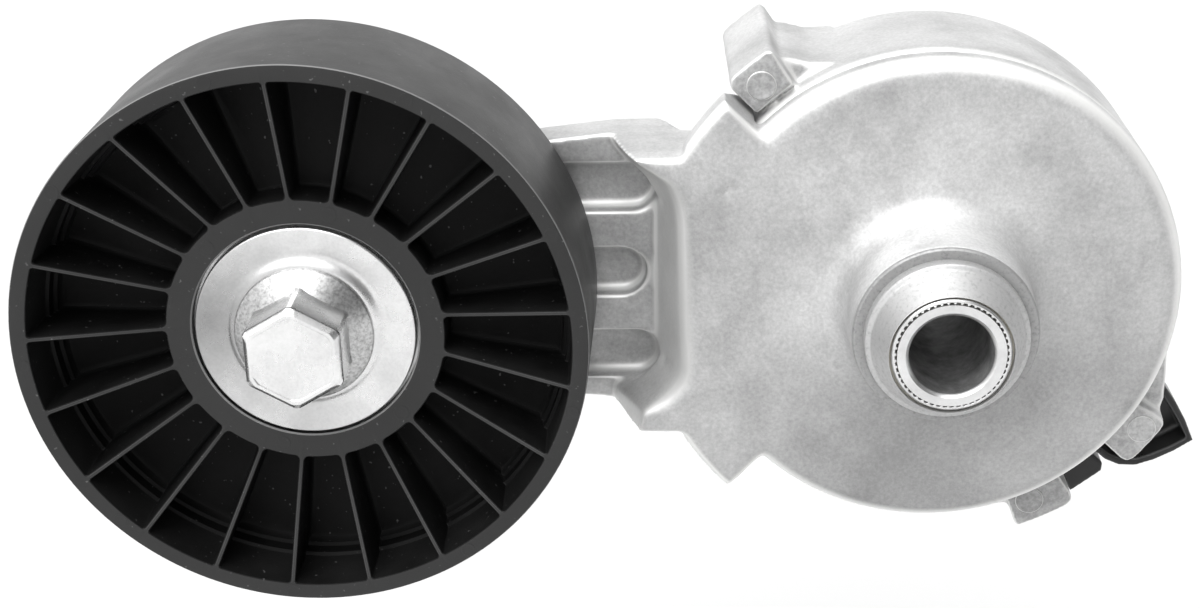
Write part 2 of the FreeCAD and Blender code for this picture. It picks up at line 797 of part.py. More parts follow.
def make_shields_and_sleeve():
    """Pressed discs on both sides of the bearing, and the stepped sleeve inside it."""
    body = new_body("dust_shield", on_pulley_axis=True)
    face = size.flange_back - 0.7
    turned(body, "disc", [
        (size.bolt_clearance, size.flange_back - size.shield_thickness),
        (11.9, size.flange_back - size.shield_thickness),
        (12.5, face - size.shield_thickness),
        (size.shield_radius - 0.2, face - size.shield_thickness),
        (size.shield_radius, face - size.shield_thickness + 0.2),
        (size.shield_radius, face - 0.3),
        (size.shield_radius - 0.3, face),
        (12.9, face),
        (12.0, size.flange_back),
        (size.bolt_clearance, size.flange_back),
    ])
    body = new_body("rear_shield", on_pulley_axis=True)
    turned(body, "disc", [
        (size.bolt_clearance, size.boss_front),
        (size.shield_radius, size.boss_front),
        (size.shield_radius, size.boss_front + 0.9),
        (size.inner_shoulder - 0.4, size.boss_front + 0.9),
        (size.inner_shoulder - 0.4, size.bearing_back),
        (size.bolt_clearance, size.bearing_back),
    ])
    body = new_body("bearing_sleeve", on_pulley_axis=True)
    turned(body, "sleeve", [
        (size.bolt_clearance, size.bearing_back),
        (size.bearing_bore, size.bearing_back),
        (size.bearing_bore, size.bearing_front),
        (size.sleeve_flange, size.bearing_front),
        (size.sleeve_flange, size.flange_back - size.shield_thickness),
        (size.bolt_clearance, size.flange_back - size.shield_thickness),
    ])


# ---------------------------------------------------------------- pulley and bearing

def make_pulley():
    """Moulded nylon pulley: rim, web, hub ring and ribs on both sides."""
    body = new_body("pulley", on_pulley_axis=True)
    rim_inner = size.pulley_radius - size.rim_wall
    chamfer = size.rim_chamfer
    turned(body, "rim_web_and_hub", [
        (size.hub_lip_radius, size.hub_ring_front),
        (size.hub_ring_radius, size.hub_ring_front),
        (size.hub_ring_radius + 0.6, size.web_front),
        (rim_inner - 2.0, size.web_front),
        (rim_inner - 1.9, size.web_front + 1.6),
        (rim_inner - 1.2, size.web_front + 1.7),
        (rim_inner - 1.1, size.web_front + 3.8),
        (rim_inner - 0.5, size.web_front + 3.9),
        (rim_inner, size.pulley_front),
        (size.pulley_radius - chamfer, size.pulley_front),
        (size.pulley_radius, size.pulley_front - chamfer),
        (size.pulley_radius, size.pulley_back + chamfer),
        (size.pulley_radius - chamfer, size.pulley_back),
        (rim_inner, size.pulley_back),
        (rim_inner - 0.9, size.web_back),
        (size.hub_ring_radius + 0.6, size.web_back),
        (size.hub_ring_radius, size.hub_ring_back),
        (size.hub_lip_radius, size.hub_ring_back),
        (size.hub_lip_radius, size.bearing_back),
        (size.bearing_outer, size.bearing_back),
        (size.bearing_outer, size.bearing_front),
        (size.hub_lip_radius, size.bearing_front),
    ])
    inner = size.hub_ring_radius - 0.8
    outer = rim_inner + 0.8
    web_middle = (size.web_front + size.web_back) / 2.0
    ribs = {
        "front_rib": [(inner, web_middle), (outer, web_middle), (outer, size.pulley_front - 0.3),
                      (rim_inner, size.pulley_front - 0.3), (inner, size.hub_ring_front - 0.1)],
        "rear_rib": [(inner, web_middle), (outer, web_middle), (outer, size.pulley_back + 0.3),
                     (rim_inner, size.pulley_back + 0.3), (inner, size.hub_ring_back + 0.1)],
    }
    for name, corners in ribs.items():
        sketch = new_sketch(body, name + "_outline", "XY_Plane", turn=size.rib_phase)
        draw_outline(sketch, [(radius, -depth) for radius, depth in corners])
        rib = body.newObject("PartDesign::Pad", name)
        rib.Profile = sketch
        rib.Midplane = True
        rib.Length = size.rib_thickness.number
        bind(rib, "Length", size.rib_thickness)
        spin_copies(body, name + "_set", rib, size.rib_count)


def make_bearing():
    """Deep-groove ball bearing: rings, balls, cage and two seals."""
    middle = (size.bearing_front + size.bearing_back) / 2.0
    body = new_body("bearing_inner_ring", on_pulley_axis=True)
    ring(body, "race", size.bearing_bore, size.inner_shoulder, size.bearing_back,
         size.bearing_front)
    turned_circle(body, "track", size.ball_circle, middle, size.ball_track, cut=True)
    body = new_body("bearing_outer_ring", on_pulley_axis=True)
    ring(body, "race", size.outer_shoulder, size.bearing_outer, size.bearing_back,
         size.bearing_front)
    turned_circle(body, "track", size.ball_circle, middle, size.ball_track, cut=True)
    for label, depth in (("front_bearing_seal", size.bearing_front - 0.4 - size.seal_thickness),
                         ("rear_bearing_seal", size.bearing_back + 0.4)):
        ring(new_body(label, on_pulley_axis=True), "seal", size.inner_shoulder + 0.2,
             size.outer_shoulder - 0.02, depth, depth + size.seal_thickness)
    make_cage(middle)
    make_balls(middle)


def make_cage(middle):
    """Ring with a round window for each ball."""
    body = new_body("bearing_cage", on_pulley_axis=True)
    half = size.ball_radius + 0.7
    ring(body, "hoop", size.ball_circle - size.cage_wall / 2.0,
         size.ball_circle + size.cage_wall / 2.0, middle - half, middle + half)
    sketch = new_sketch(body, "window_outline", "YZ_Plane")
    draw_circle(sketch, (-middle, 0.0), size.ball_radius + 0.1)
    window = body.newObject("PartDesign::Pocket", "window")
    window.Profile = sketch
    window.Reversed = True
    window.Length = size.bearing_outer.number
    bind(window, "Length", size.bearing_outer)
    spin_copies(body, "windows", window, size.ball_count)


def make_balls(middle):
    """The balls, all in one node."""
    count = int(DRIVING["ball_count"])
    balls = []
    for index in range(count):
        ball = doc.addObject("Part::Sphere", "Ball_%d" % index)
        across, up = polar(size.ball_circle, 360.0 / count * index)
        bind(ball, "Radius", size.ball_radius)
        bind(ball, "Placement.Base.x", across - size.arm_length)
        bind(ball, "Placement.Base.y", -middle)
        bind(ball, "Placement.Base.z", up)
        balls.append(ball)
    group = doc.addObject("Part::Compound", "Balls")
    group.Links = balls
    keep(group, "bearing_balls")


make_base_housing()
make_back_plate()
make_plate_rivets()
make_locating_pin()
make_pivot_tube()
make_small_rings()
make_torsion_spring()
make_tensioner_arm()
make_pulley_bolt()
make_shields_and_sleeve()
make_pulley()
make_bearing()
doc.recompute()

for item in doc.Objects:
    if "Invalid" in item.State or "Error" in item.State:
        raise RuntimeError("%s failed: %s" % (item.Name, item.State))
for item in parts:
    if item.Shape.isNull() or not item.Shape.isValid():
        raise RuntimeError("%s has no valid shape" % item.Label)

os.makedirs("parts", exist_ok=True)
for item in parts:
    item.Shape.exportStep("parts/%s.step" % item.Label)
    print("%-22s %9.1f mm3  %d solid(s)" % (item.Label, item.Shape.Volume, len(item.Shape.Solids)))
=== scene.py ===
"""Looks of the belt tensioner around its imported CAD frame.

Everything is in metres in the frame's own axes: the pivot axis is Y, the front
of the tensioner faces -Y and the pulley hangs off towards -X.  Profiles and
outlines are written in millimetres as (radius, depth), where a depth is a
distance forward of the rear mounting face, and are scaled by MM.
"""
import json
import math

import bmesh
import bpy
import numpy as np
from mathutils import Matrix, Vector


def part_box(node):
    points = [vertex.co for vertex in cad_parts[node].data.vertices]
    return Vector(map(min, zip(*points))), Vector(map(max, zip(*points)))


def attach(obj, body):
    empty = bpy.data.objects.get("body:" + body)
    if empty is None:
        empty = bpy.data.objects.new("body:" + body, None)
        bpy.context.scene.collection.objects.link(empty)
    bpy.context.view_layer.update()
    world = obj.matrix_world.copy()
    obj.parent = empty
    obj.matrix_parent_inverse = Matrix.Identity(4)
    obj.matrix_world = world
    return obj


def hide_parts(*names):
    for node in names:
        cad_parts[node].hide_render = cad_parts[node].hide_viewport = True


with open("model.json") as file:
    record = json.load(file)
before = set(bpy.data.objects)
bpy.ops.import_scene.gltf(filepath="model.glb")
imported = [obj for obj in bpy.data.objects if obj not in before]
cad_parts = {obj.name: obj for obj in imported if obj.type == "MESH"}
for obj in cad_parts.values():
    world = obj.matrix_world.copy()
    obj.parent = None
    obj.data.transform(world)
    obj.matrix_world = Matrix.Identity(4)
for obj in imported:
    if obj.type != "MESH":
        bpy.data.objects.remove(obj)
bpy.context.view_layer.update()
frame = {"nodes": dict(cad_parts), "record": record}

MM = 0.001
FULL_TURN = 2.0 * math.pi


# ---------------------------------------------------------------- sizes read from the frame

def node_span(node, axis):
    """Lowest and highest coordinate of a CAD node along one axis, in millimetres."""
    low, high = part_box(node)
    return low[axis] / MM, high[axis] / MM


PULLEY_LEFT, PULLEY_RIGHT = node_span("pulley", 0)
PULLEY_X = (PULLEY_LEFT + PULLEY_RIGHT) / 2.0
PULLEY_R = (PULLEY_RIGHT - PULLEY_LEFT) / 2.0
PULLEY_FRONT = -node_span("pulley", 1)[0]
PULLEY_BACK = -node_span("pulley", 1)[1]
BEARING_FRONT = -node_span("bearing_outer_ring", 1)[0]
BEARING_BACK = -node_span("bearing_outer_ring", 1)[1]
BEARING_R = (node_span("bearing_outer_ring", 0)[1] - node_span("bearing_outer_ring", 0)[0]) / 2.0
SHIELD_FRONT = -node_span("dust_shield", 1)[0]
SHIELD_R = (node_span("dust_shield", 0)[1] - node_span("dust_shield", 0)[0]) / 2.0
BOLT_FRONT = -node_span("pulley_bolt", 1)[0]
BOLT_BACK = -node_span("pulley_bolt", 1)[1]
NOSE_FRONT = -node_span("tensioner_arm", 1)[0]
TUBE_R = node_span("pivot_tube", 0)[1]
BORE_R = frame["record"]["mounts"][0]["dims"]["r_mm"]
RING_R = node_span("tube_retaining_ring", 0)[1]
RING_BACK = -node_span("tube_retaining_ring", 1)[1]
RING_FRONT = -node_span("tube_retaining_ring", 1)[0]


# ---------------------------------------------------------------- mesh helpers

SHARP_ANGLE = 35.0
SAME_PLACE = 1e-7


def spot(radius, depth, angle, centre_x=0.0):
    """Point at a radius and angle about an axis along Y, all in millimetres."""
    return Vector((centre_x + radius * math.cos(angle), -depth, radius * math.sin(angle))) * MM


def finish_mesh(name, verts, faces, material, sharp=SHARP_ANGLE, inner=None, inner_faces=0):
    """Make an object from vertices and faces, with outward normals and crisp edges kept.

    Edges that turn by more than sharp degrees stay crisp.  The first inner_faces
    faces take the second material.
    """
    mesh = bpy.data.meshes.new(name)
    mesh.from_pydata(verts, [], faces)
    mesh.materials.append(material)
    if inner is not None:
        mesh.materials.append(inner)
        for face in mesh.polygons[:inner_faces]:
            face.material_index = 1
    work = bmesh.new()
    work.from_mesh(mesh)
    bmesh.ops.remove_doubles(work, verts=work.verts, dist=SAME_PLACE)
    bmesh.ops.recalc_face_normals(work, faces=work.faces)
    work.to_mesh(mesh)
    work.free()
    mesh.polygons.foreach_set("use_smooth", [True] * len(mesh.polygons))
    mesh.set_sharp_from_angle(angle=math.radians(sharp))
    piece = bpy.data.objects.new(name, mesh)
    bpy.context.scene.collection.objects.link(piece)
    return piece


def softened(profile, radius, steps=4):
    """Round every corner of a closed profile by an arc of about the given radius."""
    most = 0.45  # share of a short side that one corner may take
    soft = []
    count = len(profile)
    for index in range(count):
        before = Vector(profile[index - 1])
        corner = Vector(profile[index])
        after = Vector(profile[(index + 1) % count])
        inward = before - corner
        onward = after - corner
        reach = min(radius, inward.length * most, onward.length * most)
        start = corner + inward.normalized() * reach
        end = corner + onward.normalized() * reach
        for step in range(steps + 1):
            share = step / steps
            place = start.lerp(corner, share).lerp(corner.lerp(end, share), share)
            soft.append((place.x, place.y))
    return soft


def lathe(name, profile, material, centre_x=0.0, segments=160, ripple=None):
    """Turn a closed (radius, depth) profile about an axis along Y.

    ripple(radius, angle) may return a changed radius for serrations.
    """
    verts = []
    faces = []
    count = len(profile)
    for segment in range(segments):
        angle = FULL_TURN * segment / segments
        for radius, depth in profile:
            reach = ripple(radius, angle) if ripple else radius
            verts.append(spot(reach, depth, angle, centre_x))
    for segment in range(segments):
        first = segment * count
        second = ((segment + 1) % segments) * count
        for index in range(count):
            following = (index + 1) % count
            faces.append((first + index, first + following, second + following, second + index))
    return finish_mesh(name, verts, faces, material)


def stacked_faces(faces, rows, sides):
    """Faces of a closed stack of equal rings, with a cap at either end."""
    for low in range(0, (rows - 1) * sides, sides):
        high = low + sides
        for k in range(sides):
            n = (k + 1) % sides
            faces.append((low + k, low + n, high + n, high + k))
    faces.append(tuple(range((rows - 1) * sides, rows * sides)))
    faces.append(tuple(range(sides)))


def joined(name, pieces):
    """Join several mesh objects into one."""
    work = bmesh.new()
    for piece in pieces:
        work.from_mesh(piece.data)
    mesh = pieces[0].data
    work.to_mesh(mesh)
    work.free()
    for piece in pieces[1:]:
        bpy.data.objects.remove(piece)
    pieces[0].name = name
    return pieces[0]


def applied(piece):
    """Apply all modifiers of an object to its mesh."""
    graph = bpy.context.evaluated_depsgraph_get()
    graph.update()
    mesh = bpy.data.meshes.new_from_object(piece.evaluated_get(graph))
    piece.modifiers.clear()
    piece.data = mesh
    return piece


SEAM_GAP = 1e-6
MELT_LEVELS = 10


def cast_copy(name, node, material, voxel, passes, trim_depth=None, soft_spots=()):
    """Copy a CAD node and melt its edges as a mould would: remesh, then smooth.

    trim_depth cuts off everything further forward.  soft_spots are (passes, balls)
    pairs: each list of (centre, radius) balls, in millimetres, is melted further.
    """
    work = bmesh.new()
    work.from_mesh(frame["nodes"][node].data)
    bmesh.ops.remove_doubles(work, verts=work.verts, dist=SEAM_GAP)
    if trim_depth is not None:
        cut = bmesh.ops.bisect_plane(
            work, geom=work.verts[:] + work.edges[:] + work.faces[:],
            plane_co=(0, -trim_depth * MM, 0), plane_no=(0, -1, 0), clear_outer=True)
        rims = [item for item in cut["geom_cut"] if isinstance(item, bmesh.types.BMEdge)]
        bmesh.ops.triangle_fill(work, edges=rims, use_beauty=True)
    mesh = bpy.data.meshes.new(name)
    work.to_mesh(mesh)
    work.free()
    piece = bpy.data.objects.new(name, mesh)
    bpy.context.scene.collection.objects.link(piece)
    remesh = piece.modifiers.new("melt", "REMESH")
    remesh.mode = "VOXEL"
    remesh.voxel_size = voxel * MM
    applied(piece)
    melt(piece, passes)
    for extra, balls in soft_spots:
        melt(piece, extra, balls)
    piece.data.polygons.foreach_set("use_smooth", [True] * len(piece.data.polygons))
    piece.data.materials.clear()
    piece.data.materials.append(material)
    return piece


def melt(piece, passes, balls=()):
    """Smooth a mesh, everywhere or only inside balls.

    A ball melts fully in its inner half and fades from there to its edge.
    """
    modifier = piece.modifiers.new("smooth", "SMOOTH")
    modifier.factor = 0.5
    modifier.iterations = passes
    if balls:
        places = np.empty(len(piece.data.vertices) * 3)
        piece.data.vertices.foreach_get("co", places)
        places = places.reshape(-1, 3)
        weight = np.zeros(len(places))
        for centre, reach in balls:
            gap = np.linalg.norm(places - np.array(centre) * MM, axis=1) / (reach * MM)
            weight = np.maximum(weight, np.clip(2.0 * (1.0 - gap), 0.0, 1.0))
        group = piece.vertex_groups.new(name="melt")
        levels = np.rint(weight * MELT_LEVELS).astype(int)
        for level in range(1, MELT_LEVELS + 1):
            chosen = np.flatnonzero(levels == level).tolist()
            if chosen:
                group.add(chosen, level / MELT_LEVELS, "REPLACE")
        modifier.vertex_group = "melt"
    applied(piece)
    piece.vertex_groups.clear()


def dressed(piece, body, slot, *nodes):
    """Ride a piece on its body and hide the CAD nodes that it stands for; slot is not used."""
    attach(piece, body)
    if nodes:
        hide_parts(*nodes)


# ---------------------------------------------------------------- materials

class Shader:
    """A small node tree around one Principled shader."""

    def __init__(self, name, metallic, roughness, specular=0.5):
        self.material = bpy.data.materials.new(name)
        self.material.use_nodes = True
        self.nodes = self.material.node_tree.nodes
        self.links = self.material.node_tree.links
        self.surface = self.nodes["Principled BSDF"]
        self.surface.inputs["Metallic"].default_value = metallic
        self.surface.inputs["Roughness"].default_value = roughness
        self.surface.inputs["Specular IOR Level"].default_value = specular
        self.place = self.nodes.new("ShaderNodeTexCoord").outputs["Object"]

    def noise(self, scale, detail=4.0, roughness=0.55, stretch=None):
        """Noise between 0 and 1; scale is in blotches per metre."""
        texture = self.nodes.new("ShaderNodeTexNoise")
        texture.inputs["Scale"].default_value = scale
        texture.inputs["Detail"].default_value = detail
        texture.inputs["Roughness"].default_value = roughness
        source = self.place
        if stretch is not None:
            mapping = self.nodes.new("ShaderNodeMapping")
            mapping.inputs["Scale"].default_value = stretch
            self.links.new(self.place, mapping.inputs["Vector"])
            source = mapping.outputs["Vector"]
        self.links.new(source, texture.inputs["Vector"])
        return texture.outputs["Fac"]

    def span(self, value, low, high, new_low, new_high):
        """Stretch a value from one span to another, clamped."""
        node = self.nodes.new("ShaderNodeMapRange")
        node.inputs["From Min"].default_value = low
        node.inputs["From Max"].default_value = high
        node.inputs["To Min"].default_value = new_low
        node.inputs["To Max"].default_value = new_high
        self.links.new(value, node.inputs["Value"])
        return node.outputs["Result"]

    def ramp(self, value, stops):
        """Colour ramp of (place, grey or colour) stops."""
        node = self.nodes.new("ShaderNodeValToRGB")
        band = node.color_ramp
        while len(band.elements) < len(stops):
            band.elements.new(0.5)
        for element, (place, shade) in zip(band.elements, stops):
            element.position = place
            colour = shade if isinstance(shade, tuple) else (shade,) * 3
            element.color = colour + (1.0,)
        self.links.new(value, node.inputs["Fac"])
        return node.outputs["Color"]

    def mix(self, factor, first, second, blend="MIX"):
        """Blend two colours; a colour may be a socket or a plain value."""
        node = self.nodes.new("ShaderNodeMix")
        node.data_type = "RGBA"
        node.blend_type = blend
        for name, value in (("Factor", factor), ("A", first), ("B", second)):
            socket = [s for s in node.inputs if s.name == name and s.enabled][0]
            if isinstance(value, bpy.types.NodeSocket):
                self.links.new(value, socket)
            elif name == "Factor":
                socket.default_value = value
            else:
                socket.default_value = tuple(value) + (1.0,)
        return [s for s in node.outputs if s.enabled][0]

    def math(self, kind, first, second):
        """One arithmetic step on two values."""
        node = self.nodes.new("ShaderNodeMath")
        node.operation = kind
        for socket, value in zip(node.inputs, (first, second)):
            if isinstance(value, bpy.types.NodeSocket):
                self.links.new(value, socket)
            else:
                socket.default_value = value
        return node.outputs[0]

    def off_axis(self):
        """Distance from the pivot axis, in metres."""
        split = self.nodes.new("ShaderNodeSeparateXYZ")
        self.links.new(self.place, split.inputs["Vector"])
        across = self.math("POWER", split.outputs["X"], 2.0)
        along = self.math("POWER", split.outputs["Z"], 2.0)
        return self.math("SQRT", self.math("ADD", across, along), 0.0)

    def near(self, centre, reach):
        """1 at a point of the front view, falling to 0 at a reach; (x, z) and reach in millimetres."""
        flat = self.nodes.new("ShaderNodeMapping")
        flat.inputs["Scale"].default_value = (1.0, 0.0, 1.0)
        self.links.new(self.place, flat.inputs["Vector"])
        gap = self.nodes.new("ShaderNodeVectorMath")
        gap.operation = "DISTANCE"
        gap.inputs[1].default_value = (centre[0] * MM, 0.0, centre[1] * MM)
        self.links.new(flat.outputs["Vector"], gap.inputs[0])
        return self.span(gap.outputs["Value"], 0.0, reach * MM, 1.0, 0.0)

    def facing(self, start, full):
        """0 where the forward part of the normal is at start, 1 where it has reached full."""
        geometry = self.nodes.new("ShaderNodeNewGeometry")
        split = self.nodes.new("ShaderNodeSeparateXYZ")
        self.links.new(geometry.outputs["Normal"], split.inputs["Vector"])
        return self.span(split.outputs["Y"], -start, -full, 0.0, 1.0)

    def off_front(self):
        """0 on flat faces that look forward, 1 where the surface has turned well away."""
        return self.facing(0.97, 0.80)

    def front_edge_wear_and_highlight(self):
        """1 on the rounded edges of forward faces, 0 on those faces and on sides and backs; it places
        edge colour that is partly wear and partly painted highlight.
        """
        return self.math("MULTIPLY", self.off_front(), self.facing(0.10, 0.45))

    def colour(self, socket):
        """Let a socket set the base colour."""
        self.links.new(socket, self.surface.inputs["Base Color"])

    def rough(self, socket):
        """Let a socket set the roughness."""
        self.links.new(socket, self.surface.inputs["Roughness"])

    def bump(self, height, distance, strength=1.0, under=None):
        """Raise the surface by a height map; distance is in metres."""
        node = self.nodes.new("ShaderNodeBump")
        node.inputs["Distance"].default_value = distance
        node.inputs["Strength"].default_value = strength
        self.links.new(height, node.inputs["Height"])
        if under is not None:
            self.links.new(under, node.inputs["Normal"])
        self.links.new(node.outputs["Normal"], self.surface.inputs["Normal"])
        return node.outputs["Normal"]


# Edge colours that are partly wear and partly painted highlight: pale on the castings, dark grey on
# the black coat.
WORN_AND_LIT_EDGE_METAL = (0.86, 0.86, 0.85)
WORN_AND_LIT_EDGE_COAT = (0.06, 0.06, 0.06)
FIBRE_DUST = (0.20, 0.20, 0.20)
RING_STRETCH = (400.0, 3000.0, 400.0)
# Painted shade on the cover: darker patches, given by place on its face, reach (millimetres) and depth
# of shade; the last one is a painted highlight, a lighter patch round the hub.
COVER_PAINTED_LIGHT = [
    ((-4.0, -27.0), 30.0, 0.42), ((-18.6, -8.3), 13.0, 0.16), ((23.0, -12.0), 19.0, 0.26),
    ((24.0, 9.4), 15.0, 0.20), ((-25.5, 14.7), 14.0, 0.16), ((-9.0, 9.0), 24.0, -0.45),
]


def cast_aluminium(name, painted_patches, speckle, edge_shine, edge_from):
    """Tumbled die-casting: pale, mottled, with fine sandy grain and bright edges.

    speckle is how dark the coarse grain is on faces that look forward.  Forward edges
    turn bright from the radius edge_from (millimetres) on: partly worn metal, partly
    painted highlight.  painted_patches darken the face as painted shade, and lighten it
    as a painted highlight where their shade is below zero.
    """
    shader = Shader(name, 0.40, 0.42)
    cloud = shader.noise(55.0, 5.0, 0.6)
    smudge = shader.ramp(shader.noise(17.0, 3.0, 0.55), [(0.36, 0.86), (0.62, 1.06)])
    grain = shader.noise(1700.0, 2.0, 0.7)
    blotch = shader.ramp(cloud, [(0.34, 0.40), (0.5, 0.52), (0.66, 0.60)])
    fine = shader.ramp(grain, [(0.3, 0.80), (0.7, 1.0)])
    base = shader.mix(1.0, shader.mix(1.0, blotch, fine, "MULTIPLY"), smudge, "MULTIPLY")
    # Painted shade patches with ragged edges, and a painted highlight where the shade is below zero.
    for centre, reach, shade in painted_patches:
        ragged = shader.span(cloud, 0.3, 0.6, 0.6, 1.0)
        share = shader.math("MULTIPLY", shader.near(centre, reach), ragged)
        base = shader.mix(share, base, shader.mix(1.0, base, (1.0 - shade,) * 3, "MULTIPLY"))
    coarse_grain = shader.ramp(shader.noise(1000.0, 3.0, 0.6), [(0.38, 1.0 - speckle), (0.62, 1.0)])
    speckled = shader.mix(1.0, base, coarse_grain, "MULTIPLY")
    base = shader.mix(shader.off_front(), speckled, base)
    # Painted highlight, partly wear: forward edges beyond edge_from turn towards pale metal.
    far = shader.span(shader.off_axis(), edge_from * MM, (edge_from + 1.5) * MM, 0.0, edge_shine)
    edge_wear_and_highlight = shader.math("MULTIPLY", shader.front_edge_wear_and_highlight(), far)
    shader.colour(shader.mix(edge_wear_and_highlight, base, WORN_AND_LIT_EDGE_METAL))
    shader.rough(shader.span(cloud, 0.3, 0.7, 0.54, 0.40))
    coarse = shader.bump(shader.noise(420.0, 3.0), 0.00010, 0.35)
    shader.bump(grain, 0.00004, 0.5, coarse)
    return shader.material


def machined_aluminium(name, light, roughness):
    """Turned faces of the hub: fine rings round the axis and small dark specks."""
    shader = Shader(name, 0.6, roughness)
    rings = shader.noise(1.0, 2.0, 0.6, (500.0, 3500.0, 500.0))
    speck = shader.noise(1500.0, 2.0, 0.7)
    shader.colour(shader.ramp(speck, [(0.25, light * 0.7), (0.45, light * 0.93), (0.7, light)]))
    shader.rough(shader.span(speck, 0.3, 0.7, roughness + 0.12, roughness - 0.02))
    shader.bump(rings, 0.00002, 0.5)
    return shader.material


def black_nylon(name, specular, edge_wear_and_highlight_grey):
    """Glass-filled nylon: near black, satin, with pale dust and fibre specks, and grey forward edges
    that are partly wear and partly painted highlight.
    """
    shader = Shader(name, 0.0, 0.42, specular)
    cloud = shader.noise(90.0, 4.0, 0.6)
    grain = shader.noise(2300.0, 3.0, 0.7)
    speck = shader.span(shader.noise(1300.0, 1.0, 0.5), 0.73, 0.80, 0.0, 0.4)
    base = shader.ramp(cloud, [(0.3, 0.003), (0.7, 0.008)])
    dusty = shader.mix(speck, base, FIBRE_DUST)
    # Painted highlight, partly wear: forward edges turn grey.
    shader.colour(shader.mix(shader.front_edge_wear_and_highlight(), dusty, (edge_wear_and_highlight_grey,) * 3))
    shader.rough(shader.span(cloud, 0.3, 0.7, 0.38, 0.52))
    shader.bump(grain, 0.00005, 0.6)
    return shader.material


def zinc_steel(name, light, roughness, pitting, painted_patches=()):
    """Bright zinc plate with faint clouding, tiny pits and any painted dark reflections."""
    shader = Shader(name, 0.95, roughness)
    cloud = shader.noise(140.0, 5.0, 0.6)
    pits = shader.noise(1900.0, 2.0, 0.7)
    blotch = shader.ramp(cloud, [(0.3, light * 0.80), (0.7, light)])
    fine = shader.ramp(pits, [(0.3, 1.0 - pitting), (0.6, 1.0)])
    base = shader.mix(1.0, blotch, fine, "MULTIPLY")
    # Painted dark reflections: each patch darkens the zinc.
    for centre, reach, shade in painted_patches:
        painted_dark = shader.mix(1.0, base, (1.0 - shade,) * 3, "MULTIPLY")
        base = shader.mix(shader.near(centre, reach), base, painted_dark)
    shader.colour(base)
    shader.rough(shader.span(cloud, 0.3, 0.7, roughness + 0.10, roughness - 0.04))
    shader.bump(pits, 0.00002 + pitting * 0.0001, 0.4)
    return shader.material


def ground_steel(name, light, roughness):
    """Turned or ground steel with fine rings and light staining."""
    shader = Shader(name, 0.95, roughness)
    stain = shader.noise(180.0, 5.0, 0.6)
    rings = shader.noise(1.0, 2.0, 0.6, RING_STRETCH)
    shader.colour(shader.ramp(stain, [(0.3, light * 0.78), (0.7, light)]))
    shader.rough(shader.span(stain, 0.3, 0.7, roughness + 0.12, roughness - 0.04))
    shader.bump(rings, 0.00002, 0.5)
    return shader.material


def tube_steel():
    """Bright ground steel, dull and dark inside the bore."""
    shader = Shader("tube_steel", 0.9, 0.30)
    outside = shader.span(shader.off_axis(), BORE_R * MM * 1.01, BORE_R * MM * 1.05, 0.0, 1.0)
    stain = shader.noise(260.0, 5.0, 0.65)
    rings = shader.noise(1.0, 2.0, 0.6, RING_STRETCH)
    bright = shader.ramp(stain, [(0.3, 0.62), (0.7, 0.80)])
    dark = shader.ramp(stain, [(0.3, 0.15), (0.7, 0.42)])
    shader.colour(shader.mix(outside, dark, bright))
    shader.rough(shader.span(outside, 0.0, 1.0, 0.62, 0.28))
    shader.bump(rings, 0.00002, 0.5)
    return shader.material


def black_coat():
    """Black electrocoat on stamped steel: semi-gloss with orange peel and grey forward edges, partly
    wear and partly painted highlight.
    """
    shader = Shader("black_coat", 0.0, 0.30, 0.35)
    cloud = shader.noise(110.0, 4.0, 0.6)
    peel = shader.noise(700.0, 2.0, 0.5)
    base = shader.ramp(cloud, [(0.3, 0.010), (0.7, 0.022)])
    # Painted highlight, partly wear: forward edges turn dark grey.
    shader.colour(shader.mix(shader.front_edge_wear_and_highlight(), base, WORN_AND_LIT_EDGE_COAT))
    shader.rough(shader.span(cloud, 0.3, 0.7, 0.24, 0.38))
    shader.bump(peel, 0.00004, 0.5)
    return shader.material


def plain_polymer(name, low, high, roughness):
    """Filled plastic or rubber with soft clouding and fine grain."""
    shader = Shader(name, 0.0, roughness, 0.45)
    cloud = shader.noise(150.0, 4.0, 0.6)
    grain = shader.noise(1800.0, 2.0, 0.6)
    shader.colour(shader.ramp(cloud, [(0.3, low), (0.7, high)]))
    shader.rough(shader.span(cloud, 0.3, 0.7, roughness - 0.06, roughness + 0.08))
    shader.bump(grain, 0.00003, 0.4)
    return shader.material


# Painted dark reflections on the dust shield: place (x, z), reach and depth of shade in millimetres,
# on its left side and below the bolt.
SHIELD_PAINTED_REFLECTIONS = [
    ((PULLEY_X - 15.0, 2.0), 20.0, 0.62), ((PULLEY_X - 2.0, -17.0), 12.0, 0.25),
]
CAST = cast_aluminium("cast_aluminium", (), speckle=0.26, edge_shine=0.7, edge_from=30.0)
# The cover's casting takes the painted shade patches and the painted highlight by the hub.
COVER_CAST = cast_aluminium("tumbled_aluminium", COVER_PAINTED_LIGHT, speckle=0.08,
                            edge_shine=0.85, edge_from=37.6)
MACHINED = machined_aluminium("turned_aluminium", light=0.50, roughness=0.42)
FACED = machined_aluminium("faced_aluminium", light=0.36, roughness=0.5)
NYLON = black_nylon("black_nylon", specular=0.56, edge_wear_and_highlight_grey=0.16)
# A copy of the nylon for the pocket faces, its reflection cut so the recesses go near black: painted
# shade.
POCKET_NYLON_PAINTED_SHADE = black_nylon("pocket_nylon_painted_shade", specular=0.10, edge_wear_and_highlight_grey=0.015)
ZINC = zinc_steel("zinc_steel", light=0.92, roughness=0.24, pitting=0.08)
PRESSED_ZINC = zinc_steel("pressed_zinc", light=0.86, roughness=0.26, pitting=0.08,
                          painted_patches=SHIELD_PAINTED_REFLECTIONS)
